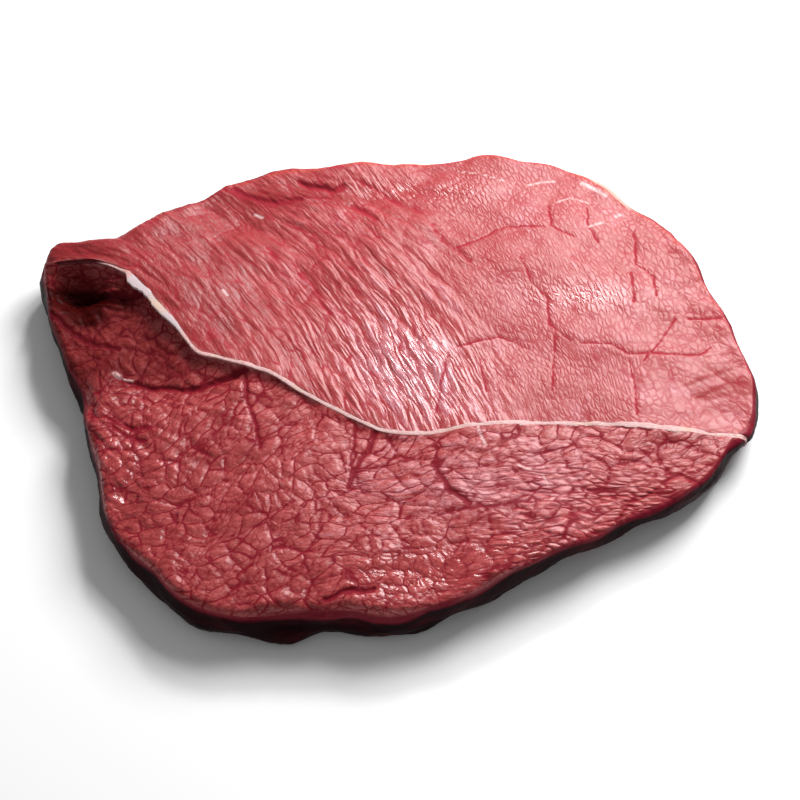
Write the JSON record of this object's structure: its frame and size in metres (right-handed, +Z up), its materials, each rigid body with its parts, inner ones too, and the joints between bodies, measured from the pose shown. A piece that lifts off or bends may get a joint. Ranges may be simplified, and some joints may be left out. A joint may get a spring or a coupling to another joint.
{
  "type": "raw beef slice",
  "caption": "Raw beef slice cut across two muscles with a white seam of connective tissue between them.",
  "frame": {"origin": "centre of the bounding box in x and y, on the surface the slice lies on", "axes": "+X along the slice from the lobe to the blunt end, +Y towards the far muscle, +Z up"},
  "size_m": [0.2492, 0.1932, 0.0235],
  "materials": {
    "meat": "satin"
  },
  "bodies": {
    "root": {"beef_slice": "meat"}
  },
  "joints": []
}
